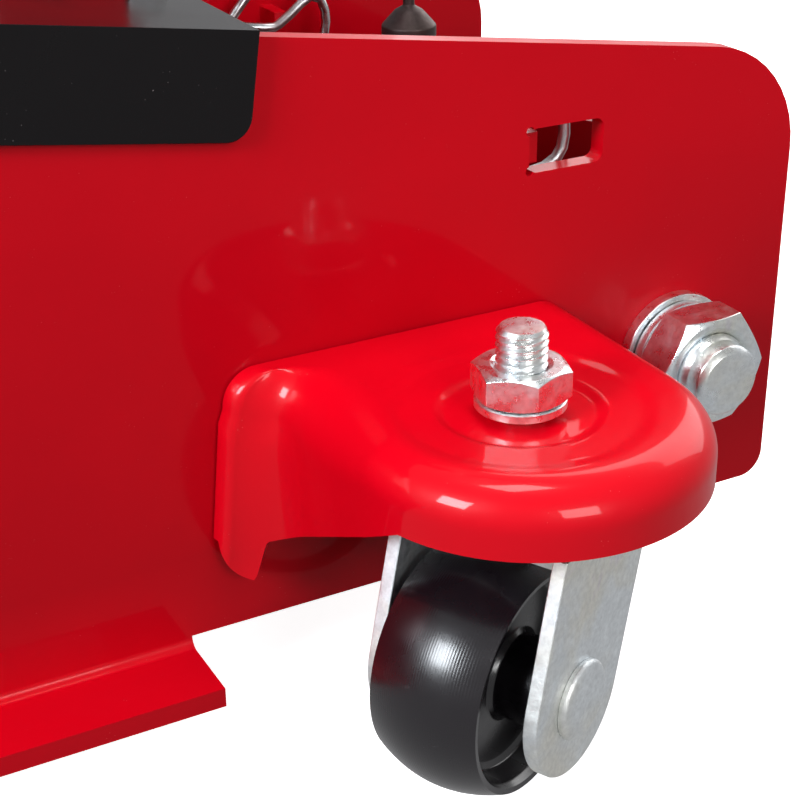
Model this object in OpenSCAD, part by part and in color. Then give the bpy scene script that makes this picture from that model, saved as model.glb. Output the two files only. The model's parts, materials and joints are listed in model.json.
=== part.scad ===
// Hydraulic trolley jack: wheeled frame, ram-driven lift arm, levelling rods,
// swivelling saddle, pump handle in its socket and a swivel caster at each rear corner.
// Millimetres. +X is the front (saddle end), +Y the left side, +Z up, floor at Z = 0.
// The origin lies on the floor under the middle of the whole object.

/* [Side plates] */
// Clear width between the two side plates
inner_gap = 132.6; // [110:0.2:160]
// Side plate thickness
plate_t = 4.4; // [3:0.1:6]
// Height of the plate's lower edge above the floor
plate_bottom = 18.6; // [12:0.2:30]
// Height at which the sloping top edge meets the rear edge
rear_top = 124.6; // [100:0.2:150]
// Rise of the top edge for each millimetre forward
top_slope = 0.1445; // [0.05:0.005:0.25]
// Distance from the rear edge to the highest point of the plate
peak_x = 240; // [200:5:280]
// Distance from the rear edge to the front edge
plate_len = 652; // [560:2:720]
// Radius of the upper rear corner
rear_corner_r = 26; // [10:1:40]
// Distance from the rear edge to the start of the foot flange
flange_start = 151; // [120:1:200]
// Distance from the rear edge to the end of the foot flange
flange_end = 470; // [300:5:540]
// Width of the outward foot flange
flange_w = 17.6; // [8:0.2:30]

/* [Rear casters] */
// Distance of the caster stem from the plate's rear edge
stem_x = 97.3; // [80:0.5:120]
// Distance of the caster stem from the plate's outer face
stem_out = 41.9; // [36:0.1:60]
// Height of the bracket's top face
bracket_top = 78; // [70:0.5:90]
// Radius of the bracket's nose
nose_r = 36; // [30:0.5:45]
// Thickness of the pressed bracket
bracket_t = 4; // [3:0.5:6]
// Largest radius of the crowned caster wheel
caster_r = 25.6; // [20:0.2:30]
// Width of the caster wheel's tread
caster_w = 24; // [16:0.2:30]
// Distance of the wheel centre from the stem axis
caster_trail = 11; // [6:0.5:20]
// Outside width of the caster fork
fork_w = 38.4; // [30:0.2:50]
// Sideways offset of the fork legs from the stem axis
fork_shift = 1.8; // [0:0.1:4]
// Rest heading of the left caster's trail, anticlockwise from forward
heading_left = 27.1; // [-180:0.1:180]
// Rest heading of the right caster's trail, anticlockwise from forward
heading_right = 152; // [-180:1:180]

/* [Front wheels] */
// Front wheel radius
wheel_r = 42; // [30:1:60]
// Front wheel width
wheel_w = 34; // [20:1:50]
// Distance of the front axle from the plate's rear edge
axle_x = 628; // [560:2:700]
// Front axle radius
axle_r = 12.5; // [8:0.5:16]

/* [Lift arm] */
// Distance of the arm shaft from the plate's rear edge
shaft_x = 300; // [280:2:330]
// Height of the arm shaft
shaft_z = 107; // [95:1:120]
// Arm shaft radius
shaft_r = 14; // [10:0.5:18]
// Arm length between the arm shaft and the saddle pivot
arm_len = 320; // [280:5:360]
// Angle of the arm below level when lowered
arm_drop = 2; // [0:0.5:6]
// Lever length between the arm shaft and the lever pin
lever_len = 50; // [40:1:60]
// Angle of the lever behind straight down when lowered
lever_back = 28; // [20:1:32]
// Spacing of each levelling rod below its arm
rod_offset = 30; // [24:1:36]
// Saddle radius
saddle_r = 48; // [35:1:60]

/* [Hydraulic unit] */
// Distance of the unit's side studs from the plate's rear edge
stud_x = 30.4; // [25:0.1:45]
// Height of the ram axis and of the side studs
ram_z = 59.6; // [50:0.2:70]
// Height of the trunnion studs above the floor
stud_z = 59; // [50:0.2:70]
// Radius of the side studs
stud_r = 9.1; // [7:0.1:11]
// Half width of the hydraulic block
block_hw = 32; // [26:1:40]
// Radius of the oil reservoir tube
reservoir_r = 36; // [30:1:42]
// Ram rod radius
ram_r = 13; // [9:0.5:18]

/* [Pump handle] */
// Distance of the socket pivot from the plate's rear edge
pivot_x = 158; // [145:1:170]
// Height of the socket pivot
pivot_z = 139; // [130:1:150]
// Rest angle of the handle above the floor, leaning back
handle_tilt = 65; // [50:1:80]
// Distance of the handle's free end from the socket pivot
handle_len = 1100; // [600:10:1300]
// Radius of the lower handle tube
tube_r = 14; // [10:0.5:18]
// Distance of the pump roller from the socket pivot
roller_arm = 26; // [22:1:30]
// Angle of the roller above level at rest
roller_up = 22; // [15:1:25]

/* [Display] */
// Node to show, or all

/* [Hidden] */
$fn = 64;
plate_in = inner_gap / 2;
plate_out = plate_in + plate_t;
grip_r = 16.5;
front_reach = axle_x + wheel_r;
back_reach = pivot_x - handle_len * cos(handle_tilt) - grip_r * sin(handle_tilt);
x_mid = (front_reach + back_reach) / 2;
rear_x = -x_mid;
function from_rear(x) = rear_x + x;
sx = from_rear(stem_x);
ax = from_rear(axle_x);
px = from_rear(shaft_x);
ux = from_rear(stud_x);
qx = from_rear(pivot_x);
saddle_x = px + arm_len * cos(arm_drop);
saddle_z = shaft_z - arm_len * sin(arm_drop);
rod_dir = -60;
rod_dx = rod_offset * cos(rod_dir);
rod_dz = rod_offset * sin(rod_dir);
pin_x = px - lever_len * sin(lever_back);
pin_z = shaft_z - lever_len * cos(lever_back);
block_top = 105;
block_front = 176;
tube_front = 246;
gland_front = 256;
sleeve_r = 17.5;
cover_back = 130.2;
cover_skirt = 19.6;
cover_front = 228;
cover_t = 1.5;
slope_deg = atan(top_slope);
stem_y = plate_out + stem_out;

// ---- helpers -------------------------------------------------------------

function unit(v) = v / norm(v);

// Removes the corner at p between neighbours a and b down to a radius r
module corner_cut(p, a, b, r) {
    d1 = unit(a - p);
    d2 = unit(b - p);
    half = acos(d1 * d2) / 2;
    t = r / tan(half);
    c = p + unit(d1 + d2) * r / sin(half);
    difference() {
        polygon([p + d1 * t, c, p + d2 * t, p + (p - c) * 0.5]);
        translate(c) circle(r);
    }
}

// Extrudes a drawing made in X and Z between two Y planes
module slab(y0, y1) {
    translate([0, y1, 0]) rotate([90, 0, 0]) linear_extrude(y1 - y0) children();
}

module bar_y(r, y0, y1) {
    translate([0, y1, 0]) rotate([90, 0, 0]) cylinder(r = r, h = y1 - y0);
}

// A bar along Y with chamfered ends
module pin_y(r, y0, y1, c = 1) {
    translate([0, y1, 0]) rotate([90, 0, 0]) chamfered(r, y1 - y0, c);
}

module chamfered(r, h, c) {
    rotate_extrude() polygon([[0, 0], [r - c, 0], [r, c], [r, h - c], [r - c, h], [0, h]]);
}

// Two circles joined by their outer tangents, the second at distance len along X
module link2d(r1, r2, len) {
    b = asin((r1 - r2) / len);
    s1 = r1 - 0.04;
    s2 = r2 - 0.04;
    circle(r1);
    translate([len, 0]) circle(r2);
    polygon([
        [s1 * sin(b), s1 * cos(b)], [len + s2 * sin(b), s2 * cos(b)],
        [len + s2 * sin(b), -s2 * cos(b)], [s1 * sin(b), -s1 * cos(b)]
    ]);
}

module both_sides() {
    children();
    mirror([0, 1, 0]) children();
}

// A hexagon nut on the Z axis with chamfered corners and a bore
module hex_nut(af, h, bore, sink = 1) {
    corner = af / sqrt(3);
    difference() {
        intersection() {
            cylinder(r = corner, h = h, $fn = 6);
            rotate_extrude() polygon([
                [0, 0], [af * 0.475, 0], [corner + 0.1, (corner - af * 0.475) * 0.58],
                [corner + 0.1, h - (corner - af * 0.475) * 0.58], [af * 0.475, h], [0, h]
            ]);
        }
        translate([0, 0, -1]) cylinder(r = bore, h = h + 2);
        translate([0, 0, h - sink]) cylinder(r1 = bore, r2 = bore + sink * 1.4, h = sink + 0.001);
    }
}

module ring(r, bore, h) {
    difference() {
        cylinder(r = r, h = h);
        translate([0, 0, -1]) cylinder(r = bore, h = h + 2);
    }
}

// A split spring washer on the Z axis
module spring_washer(r, bore, h) {
    difference() {
        cylinder(r = r, h = h);
        translate([0, 0, -1]) cylinder(r = bore, h = h + 2);
        rotate([0, 0, 25]) translate([bore - 2, -0.5, -1]) cube([r, 1, h + 2]);
    }
}

// ---- side plates ---------------------------------------------------------

function top_at(x) = rear_top + top_slope * x;

outline = [
    [0, plate_bottom], [0, rear_top], [peak_x, top_at(peak_x)], [590, 88],
    [plate_len, 64], [plate_len, plate_bottom]
];
corner_radii = [6, rear_corner_r, 60, 60, 20, 20];

module plate_outline() {
    n = len(outline);
    difference() {
        polygon(outline);
        for (i = [0:n - 1])
            corner_cut(outline[i], outline[(i + n - 1) % n], outline[(i + 1) % n], corner_radii[i]);
    }
}

slot_x0 = 51.6;
slot_x1 = 70;
slot_z0 = 107.1;
slot_z1 = 116.6;

module rounded_slot(x0, x1, z0, z1, r) {
    difference() {
        translate([x0, z0]) square([x1 - x0, z1 - z0]);
        corner_cut([x0, z0], [x0, z1], [x1, z0], r);
        corner_cut([x1, z0], [x0, z0], [x1, z1], r);
        corner_cut([x1, z1], [x1, z0], [x0, z1], r);
        corner_cut([x0, z1], [x1, z1], [x0, z0], r);
    }
}

flange_z = 11.8;
flange_t = 4.4;
tongue_x0 = 66.6;
tongue_x1 = 70;

module side_plate(slotted) {
    reach = slotted ? 13 : 9.5;
    translate([rear_x, 0, 0]) {
        difference() {
            slab(plate_in, plate_out) plate_outline();
            if (slotted) slab(plate_in - 1, plate_out + 1) {
                rounded_slot(slot_x0, slot_x1, slot_z0, slot_z1, 2);
                for (z = [slot_z0 + 0.5, slot_z1 - 0.5])
                    translate([slot_x1 - 0.2, z]) circle(1);
            }
            translate([stud_x, 0, stud_z]) bar_y(stud_r + 0.2, plate_in - 1, plate_out + 1);
            translate([shaft_x, 0, shaft_z]) bar_y(shaft_r, plate_in - 1, plate_out + 1);
            translate([axle_x, 0, wheel_r]) bar_y(axle_r, plate_in - 1, plate_out + 1);
        }
        // foot flange, bent outward along the lower edge
        translate([flange_start, plate_in, flange_z])
            cube([flange_end - flange_start, plate_t, plate_bottom - flange_z]);
        translate([flange_start, plate_out, flange_z])
            cube([flange_end - flange_start, flange_w, flange_t]);
        translate([flange_start, plate_out, flange_z + flange_t]) difference() {
            cube([flange_end - flange_start, 2.2, 2.2]);
            translate([-1, 2.2, 2.2]) rotate([0, 90, 0]) cylinder(r = 2.2, h = 400);
        }
        // tongue bent inward at the slot, which holds the return spring
        translate([tongue_x0, plate_in - reach, slot_z0 + 1.4])
            cube([tongue_x1 - tongue_x0, reach + 2, 6.6]);
    }
}

module side_plate_left() color([0.78, 0.02, 0.06]) side_plate(true);
module side_plate_right() color([0.78, 0.02, 0.06]) mirror([0, 1, 0]) side_plate(false);

module cross_member(x0, x1, z0, t) {
    translate([from_rear(x0), -plate_in, z0]) cube([x1 - x0, inner_gap, t]);
    for (x = [x0, x1 - t])
        translate([from_rear(x), -plate_in, z0 - 5]) cube([t, inner_gap, 5]);
}

module cross_members() color([0.7, 0.02, 0.06]) {
    cross_member(70, 150, 25, 5);
    cross_member(540, 600, 24, 5);
}

// ---- caster bracket ------------------------------------------------------

// Plan view seen from above, X from the nose's centre, Y from the plate's outer face
nose_back = 1.8;
flare_r = 14;
flare_y = 15.5;

module bracket_plan(inset) {
    r = nose_r - inset;
    difference() {
        union() {
            translate([0, stem_out]) circle(r);
            translate([-r, 0]) square([2 * r, stem_out]);
            translate([r - 1, 0]) square([flare_r + inset + 1, flare_y]);
        }
        translate([nose_r + flare_r, flare_y]) circle(flare_r + inset);
        translate([nose_r + flare_r, -1]) square([30, 60]);
    }
}

// Profile left out of a square edge to round it with radius r
module edge_cut(r) {
    difference() {
        translate([0, -r]) square([r + 1, r + 1]);
        translate([0, -r]) circle(r);
    }
}

edge_r = 8;

module bracket_edges() {
    translate([0, stem_out, bracket_top]) rotate_extrude(angle = 180)
        translate([nose_r - edge_r, 0]) edge_cut(edge_r);
    for (side = [0, 1])
        mirror([side, 0, 0])
            translate([nose_r - edge_r, stem_out + 0.01, bracket_top]) rotate([90, 0, 0])
                linear_extrude(side == 0 ? stem_out - flare_y + 0.01 : stem_out + 1) edge_cut(edge_r);
    translate([nose_r + flare_r, flare_y, bracket_top]) rotate([0, 0, 180])
        rotate_extrude(angle = 90) translate([flare_r + edge_r, 0]) mirror([1, 0]) edge_cut(edge_r);
}

// Lower edge seen along X: a foot at the plate, then a rising edge to the nose
module bracket_below() {
    polygon([
        [-1, 0], [-1, 31.6], [3.9, 31.6], [5, 32.8], [5, 38.5], [7.6, 41.2],
        [53, 64.6], [120, 64.6], [120, 0]
    ]);
}

foot_x = nose_r + flare_r;

module caster_bracket() {
    difference() {
        linear_extrude(bracket_top) bracket_plan(0);
        translate([0, 0, -1]) linear_extrude(bracket_top - bracket_t + 1) bracket_plan(bracket_t);
        bracket_edges();
        translate([-80, 0, 0]) rotate([90, 0, 90]) linear_extrude(160) bracket_below();
        slab(-1, 9) corner_cut([foot_x, 31.6], [foot_x, 90], [0, 31.6], 9);
        translate([nose_back, stem_out, 60]) cylinder(r = 5.2, h = 30);
        translate([nose_back, stem_out, bracket_top - 0.7]) ring(19, 14, 2);
    }
}

module caster_bracket_left() color([0.82, 0.02, 0.06])
    translate([sx - nose_back, plate_out, 0]) caster_bracket();
module caster_bracket_right() color([0.82, 0.02, 0.06])
    mirror([0, 1, 0]) translate([sx - nose_back, plate_out, 0]) caster_bracket();

// ---- casters -------------------------------------------------------------

module at_stem() {
    translate([sx, stem_y, 0]) children();
}

fork_t = 3;
crown_z = 56;
leg_near = fork_w / 2 + fork_shift;
leg_far = fork_w / 2 - fork_shift;
washer_z = bracket_top;
nut_z = washer_z + 2.2;

module caster_stem() {
    translate([0, 0, 70]) cylinder(r = 16, h = bracket_top - bracket_t - 70);
    translate([0, 0, crown_z + fork_t + 0.4]) cylinder(r = 13, h = 71 - crown_z - fork_t);
    translate([0, 0, crown_z - 0.3]) cylinder(r = 5, h = 30);
    translate([0, 0, crown_z - 4.3]) cylinder(r = 8, h = 4);
    translate([0, 0, 80]) chamfered(5, 14.4, 0.9);
}

module caster_stems() color([0.66, 0.68, 0.7]) both_sides() at_stem() caster_stem();
module caster_nuts() color([0.7, 0.72, 0.74]) both_sides() at_stem() translate([0, 0, nut_z])
    rotate([0, 0, 17]) hex_nut(17, 6.7, 5, 0.7);
module caster_spring_washers() color([0.66, 0.68, 0.7]) both_sides() at_stem()
    translate([0, 0, washer_z]) spring_washer(8.9, 5, 2.2);

// Fork drawn with its trail along +X
module caster_fork() {
    difference() {
        union() {
            translate([-17, -leg_far, crown_z]) cube([34, fork_w, fork_t]);
            translate([0, 0, crown_z]) cylinder(r = 16.8, h = 6.5);
            for (y = [-leg_far, leg_near - fork_t])
                slab(y, y + fork_t) fork_leg();
        }
        translate([0, 0, crown_z - 1]) cylinder(r = 5.3, h = 20);
        translate([0, 0, crown_z + fork_t]) cylinder(r = 14.6, h = 10);
        translate([caster_trail, 0, caster_r]) bar_y(4, -leg_far - 1, leg_near + 1);
    }
}

// Direction of the point where a line from p touches a circle of radius r at the origin
function touch(p, r, side) = atan2(p[1], p[0]) + side * acos(r / norm(p));

module fork_leg() {
    w = crown_z + fork_t - caster_r;
    rear = [-17 - caster_trail, w];
    front = [17.6 - caster_trail, w];
    a = touch(rear, 16, 1);
    b = touch(front, 16, -1);
    translate([caster_trail, caster_r]) {
        circle(16);
        polygon([[0, 0], 16 * [cos(a), sin(a)], rear, front, 16 * [cos(b), sin(b)]]);
    }
}

module caster_axle() {
    translate([caster_trail, 0, caster_r]) {
        bar_y(4, -leg_far - 1, leg_near + 1);
        pin_y(8.2, leg_near, leg_near + 2, 0.6);
        pin_y(8.2, -leg_far - 2, -leg_far, 0.6);
    }
}

crown_r = (pow(caster_w / 2, 2) + pow(3.2, 2)) / 6.4;

module caster_wheel() {
    hub_side = fork_t + 0.5;
    translate([caster_trail, 0, caster_r]) rotate([-90, 0, 0]) rotate_extrude() difference() {
        union() {
            intersection() {
                translate([caster_r - crown_r, 0]) circle(crown_r);
                translate([5, -caster_w / 2]) square([caster_r, caster_w]);
            }
            translate([4.05, hub_side - leg_far]) square([4.6, fork_w - 2 * hub_side]);
        }
        for (side = [0, 1])
            mirror([0, side]) translate([8.65, 5.5]) square([caster_r - 5.7 - 8.65, 20]);
        translate([0, -30]) square([4.05, 60]);
    }
}

module left_caster() at_stem() rotate([0, 0, heading_left]) children();
module right_caster() translate([sx, -stem_y, 0]) rotate([0, 0, heading_right]) children();

module caster_fork_left() color([0.68, 0.7, 0.72]) left_caster() caster_fork();
module caster_fork_right() color([0.68, 0.7, 0.72]) right_caster() caster_fork();
module caster_axle_left() color([0.62, 0.64, 0.66]) left_caster() caster_axle();
module caster_axle_right() color([0.62, 0.64, 0.66]) right_caster() caster_axle();
module caster_wheel_left() color([0.04, 0.04, 0.045]) left_caster() caster_wheel();
module caster_wheel_right() color([0.04, 0.04, 0.045]) right_caster() caster_wheel();

// ---- front axle and wheels -----------------------------------------------

wheel_in = plate_out + 2.6;
wheel_outer = wheel_in + wheel_w;

module at_axle() translate([ax, 0, wheel_r]) children();

module front_axle() color([0.6, 0.62, 0.64]) at_axle()
    pin_y(axle_r, -wheel_outer - 19, wheel_outer + 19, 1.5);

module axle_washers() color([0.66, 0.68, 0.7]) both_sides() at_axle() {
    translate([0, plate_out + 2.3, 0]) rotate([90, 0, 0]) ring(20, axle_r, 2.3);
    translate([0, wheel_outer + 2.8, 0]) rotate([90, 0, 0]) ring(20, axle_r, 2.5);
}

module axle_nuts() color([0.7, 0.72, 0.74]) both_sides() at_axle()
    translate([0, wheel_outer + 2.8, 0]) rotate([-90, 0, 0]) hex_nut(36, 13, axle_r);

module front_wheel() {
    hw = wheel_w / 2;
    at_axle() translate([0, wheel_in + hw, 0]) rotate([90, 0, 0]) rotate_extrude() difference() {
        polygon([
            [axle_r + 0.06, -hw], [19, -hw], [19, -hw + 1], [wheel_r - 2, -hw + 1],
            [wheel_r, -hw + 3], [wheel_r, hw - 3], [wheel_r - 2, hw - 1], [19, hw - 1],
            [19, hw], [axle_r + 0.06, hw]
        ]);
        for (side = [0, 1])
            mirror([0, side]) translate([21, hw - 8]) square([wheel_r - 27, 20]);
    }
}

module front_wheel_left() color([0.05, 0.05, 0.055]) front_wheel();
module front_wheel_right() color([0.05, 0.05, 0.055]) mirror([0, 1, 0]) front_wheel();

// ---- hydraulic unit ------------------------------------------------------

module power_unit_block() color([0.72, 0.03, 0.06]) translate([rear_x, 0, 0]) {
    difference() {
        union() {
            difference() {
                slab(-block_hw, block_hw) difference() {
                    polygon([
                        [10, 30], [block_front, 30], [block_front, block_top], [38, block_top],
                        [10, 97]
                    ]);
                    corner_cut([10, 30], [10, 97], [90, 30], 6);
                    corner_cut([10, 97], [10, 30], [38, block_top], 5);
                }
                for (side = [0, 1])
                    mirror([0, side, 0]) translate([100, 24, 84]) cube([40, 20, 30]);
            }
            // trunnion bosses reach the side plates
            both_sides() translate([stud_x, 0, stud_z]) bar_y(17, block_hw - 1, plate_in);
            // ears that carry the handle socket
            both_sides() translate([pivot_x, 0, pivot_z]) slab(28, 34) {
                circle(12);
                translate([-12, block_top - pivot_z - 20]) square([24, pivot_z - block_top + 20]);
            }
        }
        translate([pivot_x, 0, pivot_z]) bar_y(6, -40, 40);
        both_sides() translate([stud_x, 0, stud_z]) bar_y(stud_r, 36, plate_in + 1);
        translate([plunger_x, 0, 48]) cylinder(r = plunger_r + 0.05, h = 80);
        translate([pivot_x, 0, 70]) cylinder(r = 6.05, h = 60);
        translate([filler_x, 0, 80]) cylinder(r = 8, h = 40);
    }
}

plunger_x = pivot_x - roller_arm * cos(roller_up) + 1;
plunger_r = 8;
filler_x = 60;

module at_stud() translate([ux, 0, stud_z]) children();

module trunnion_studs() color([0.66, 0.68, 0.7]) both_sides() at_stud()
    translate([0, 36, 0]) rotate([-90, 0, 0]) rotate_extrude() polygon([
        [0, 0], [stud_r - 1, 0], [stud_r, 1], [stud_r, plate_out - 20],
        [stud_r - 0.9, plate_out - 18.4], [stud_r - 0.9, plate_out - 15], [stud_r - 2.2, plate_out - 13.7],
        [0, plate_out - 13.7]
    ]);

module trunnion_washers() color([0.66, 0.68, 0.7]) both_sides() at_stud()
    translate([0, plate_out + 3, 0]) rotate([90, 0, 0]) ring(13.9, stud_r, 3);

module trunnion_spring_washers() color([0.62, 0.64, 0.66]) both_sides() at_stud()
    translate([0, plate_out + 6, 0]) rotate([90, 0, 0]) spring_washer(12.6, stud_r, 3);

module trunnion_nuts() color([0.7, 0.72, 0.74]) both_sides() at_stud()
    translate([0, plate_out + 6, 0]) rotate([-90, 0, 0]) hex_nut(25.4, 10.6, stud_r, 1.2);

module tube_x(r, bore, x0, x1) {
    translate([from_rear(x0), 0, ram_z]) rotate([0, 90, 0]) ring(r, bore, x1 - x0);
}

module rod_x(r, x0, x1) {
    translate([from_rear(x0), 0, ram_z]) rotate([0, 90, 0]) cylinder(r = r, h = x1 - x0);
}

module reservoir_tube() color([0.72, 0.03, 0.06]) tube_x(reservoir_r, 33, block_front, tube_front);

module ram_cylinder() color([0.5, 0.52, 0.54]) tube_x(25, 20, block_front, tube_front);

module gland_nut() color([0.5, 0.52, 0.54]) difference() {
    union() {
        rod_x(reservoir_r, tube_front, gland_front - 4);
        translate([from_rear(gland_front - 5), 0, ram_z]) rotate([0, 90, 0])
            cylinder(r = 26, h = 5, $fn = 6);
    }
    rod_x(ram_r + 0.05, tube_front - 5, gland_front + 5);
}

module oil_filler_plug() color([0.5, 0.5, 0.52]) translate([from_rear(filler_x), 0, 0])
    rotate_extrude() polygon([
        [0, 88], [8, 88], [8, block_top], [9.5, block_top], [9.5, 112], [6, 116], [6.6, 120],
        [6.6, 122.5], [3.4, 126], [1.4, 127.2], [1.4, 141], [0, 141]
    ]);

travel = lever_len * 2 * sin(lever_back);

module ram_rod() color([0.75, 0.77, 0.8]) {
    rod_x(19.95, block_front + 4, block_front + 20);
    rod_x(ram_r, block_front + 19, shaft_x - lever_len * sin(lever_back) - 17);
}

module ram_head() color([0.45, 0.46, 0.48]) difference() {
    slab(-14, 14) difference() {
        translate([pin_x - 17, ram_z - 22]) square([34, 44]);
        head_slot();
    }
}

// Upright slot that lets the lever pin rise and fall while the ram moves straight
module head_slot() {
    w = 8.75;
    low = shaft_z - lever_len - 1.2;
    high = pin_z + 1.2;
    for (z = [low, high])
        translate([pin_x, z]) circle(w);
    translate([pin_x - w, low]) square([2 * w, high - low]);
}

// ---- pump, handle socket and handle --------------------------------------

cap_top = pivot_z + roller_arm * sin(roller_up) - 8 - 0.45;

module pump_plunger() color([0.72, 0.74, 0.77]) translate([from_rear(plunger_x), 0, 0])
    rotate_extrude() polygon([
        [0, 74], [plunger_r, 74], [plunger_r, cap_top - 4], [11, cap_top - 4],
        [11, cap_top - 1], [10, cap_top], [0, cap_top]
    ]);

module release_valve_spindle() color([0.55, 0.57, 0.6]) translate([qx, 0, 0]) difference() {
    union() {
        translate([0, 0, 84]) cylinder(r = 6, h = 38);
        translate([0, 0, 122]) cylinder(r = 11.2, h = pivot_z - 2 - 122);
    }
    translate([0, 0, pivot_z]) sphere(9.35);
}

// Local frame of the handle: Z runs up the handle from the socket pivot
module on_handle() {
    translate([qx, 0, pivot_z]) rotate([0, handle_tilt - 90, 0]) children();
}

socket_w0 = 32;
socket_w1 = 118;
sleeve_w1 = 158;

module handle_socket() color([0.74, 0.02, 0.06]) on_handle() difference() {
    union() {
        translate([0, 0, socket_w0]) cylinder(r = 22, h = socket_w1 - socket_w0);
        both_sides() slab(19, 27) {
            circle(13);
            translate([-13, 0]) square([26, 74]);
            rotate(180 + (90 - handle_tilt) - roller_up) link2d(13, 8, roller_arm);
        }
    }
    translate([0, 0, socket_w0 - 1]) cylinder(r = sleeve_r + 0.06, h = 200);
    bar_y(6.06, -40, 40);
    rotate([0, -(90 - handle_tilt) + roller_up, 0]) translate([-roller_arm, 0, 0])
        bar_y(4, -40, 40);
}

module at_roller() translate([
    qx - roller_arm * cos(roller_up), 0, pivot_z + roller_arm * sin(roller_up)
]) children();

module roller_pin() color([0.6, 0.62, 0.64]) at_roller() bar_y(4, -27, 27);

module pump_roller() color([0.6, 0.62, 0.64]) at_roller() difference() {
    pin_y(8, -18, 18, 0.8);
    bar_y(4.06, -20, 20);
}

module socket_pivot_bolts() color([0.66, 0.68, 0.7]) both_sides() translate([qx, 0, pivot_z]) {
    bar_y(6, 17, 34);
    pin_y(9, 34, 37.5, 0.8);
}

module release_sleeve() color([0.6, 0.62, 0.64]) on_handle() {
    difference() {
        translate([0, 0, socket_w0 + 2]) cylinder(r = sleeve_r, h = sleeve_w1 - socket_w0 - 2);
        translate([0, 0, socket_w0 + 6]) cylinder(r = tube_r + 0.05, h = 200);
        translate([0, 0, 140]) rotate([0, 90, 0]) cylinder(r = 4, h = 40);
    }
    translate([0, 0, 7]) cylinder(r = 4, h = socket_w0 - 4);
    sphere(9);
}

module clamp_screw() color([0.66, 0.68, 0.7]) on_handle() translate([0, 0, 140])
    rotate([0, 90, 0]) {
        translate([0, 0, tube_r + 0.35]) cylinder(r = 4, h = 12);
        translate([0, 0, tube_r + 12.3]) cylinder(r = 10, h = 7, $fn = 6);
    }

module handle_lower() color([0.05, 0.05, 0.055]) on_handle() difference() {
    translate([0, 0, socket_w0 + 6.4]) cylinder(r = tube_r, h = 520);
    translate([0, 0, socket_w0 + 5]) cylinder(r = tube_r - 2.2, h = 530);
}

module handle_upper() color([0.05, 0.05, 0.055]) on_handle() difference() {
    translate([0, 0, 500]) cylinder(r = grip_r, h = handle_len - 500);
    translate([0, 0, 499]) cylinder(r = tube_r, h = handle_len - 503);
}

// ---- top cover -----------------------------------------------------------

// Local frame lies on the plates' sloping top edges
module on_slope() {
    translate([rear_x, 0, rear_top]) rotate([0, -slope_deg, 0]) children();
}

module top_cover() color([0.04, 0.035, 0.035]) {
    s0 = cover_back / cos(slope_deg);
    s1 = cover_front / cos(slope_deg);
    w = plate_out + 0.35 + cover_t;
    on_slope() difference() {
        union() {
            translate([s0, -w, 0.05]) cube([s1 - s0, 2 * w, cover_t]);
            both_sides() slab(plate_out + 0.35, w) difference() {
                translate([s0, -cover_skirt]) square([s1 - s0, cover_skirt + 1.5]);
                corner_cut([s0, -cover_skirt], [s0, 0], [s1, -cover_skirt], 5);
                corner_cut([s1, -cover_skirt], [s1, 0], [s0, -cover_skirt], 5);
            }
        }
        translate([s0 - 1, -40, -1]) cube([66, 80, 4]);
        for (y = [-1, 1])
            translate([s1 - 16, 0, -10]) bar_y(2.6, y * w - 3, y * w + 3);
    }
}

module cover_screws() color([0.6, 0.62, 0.64]) both_sides() on_slope()
    translate([cover_front / cos(slope_deg) - 16, 0, -10]) {
        bar_y(2.6, plate_out, plate_out + 3);
        pin_y(5, plate_out + 0.35 + cover_t, plate_out + 5, 0.8);
    }

// ---- lift arm ------------------------------------------------------------

module at_shaft() translate([px, 0, shaft_z]) children();

module arm_shaft() color([0.6, 0.62, 0.64]) at_shaft()
    pin_y(shaft_r, -plate_out - 15, plate_out + 15, 1.5);

module arm_shaft_nuts() color([0.7, 0.72, 0.74]) both_sides() at_shaft()
    translate([0, plate_out, 0]) rotate([-90, 0, 0]) hex_nut(41, 11, shaft_r);

lug_r = 35;
lug_dir = 209;

module arm_plate() at_shaft() {
    difference() {
        slab(44, 50) {
            rotate(-arm_drop) link2d(28, 14, arm_len);
            rotate(lug_dir) link2d(20, 9, lug_r);
        }
        bar_y(shaft_r + 0.05, 40, 60);
        rotate([0, arm_drop, 0]) translate([arm_len, 0, 0]) bar_y(8, 40, 60);
        rotate([0, arm_drop, 0]) translate([150, 0, 0]) bar_y(13, 40, 60);
    }
    // stub that the return spring hooks over
    rotate([0, -lug_dir, 0]) translate([lug_r, 0, 0]) bar_y(4, 47, 63);
}

module arm_plate_left() color([0.74, 0.02, 0.06]) arm_plate();
module arm_plate_right() color([0.74, 0.02, 0.06]) mirror([0, 1, 0]) arm_plate();

module arm_hub_tube() color([0.7, 0.02, 0.06]) at_shaft()
    translate([0, 44, 0]) rotate([90, 0, 0]) ring(21, shaft_r + 0.05, 88);

module arm_cross_tube() color([0.7, 0.02, 0.06]) at_shaft() rotate([0, arm_drop, 0])
    translate([150, 50, 0]) rotate([90, 0, 0]) ring(13, 9, 100);

module lever_plates() color([0.7, 0.02, 0.06]) both_sides() at_shaft() difference() {
    slab(15, 23) rotate(-90 - lever_back) link2d(29, 13.5, lever_len);
    bar_y(21, 0, 40);
    rotate([0, 90 + lever_back, 0]) translate([lever_len, 0, 0]) bar_y(8, 0, 40);
}

module lever_pin() color([0.6, 0.62, 0.64]) translate([pin_x, 0, pin_z]) pin_y(8, -23, 23, 1);

module saddle_pivot_pins() color([0.6, 0.62, 0.64]) both_sides()
    translate([saddle_x, 0, saddle_z]) {
        bar_y(8, 27, 50);
        pin_y(11, 50, 52.5, 0.8);
    }

// ---- levelling rods and saddle -------------------------------------------

module rod_anchor_pins() color([0.6, 0.62, 0.64]) both_sides()
    translate([px + rod_dx, 0, shaft_z + rod_dz]) {
        bar_y(6, 53, plate_in);
        bar_y(9, 63.5, plate_in);
    }

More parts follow.
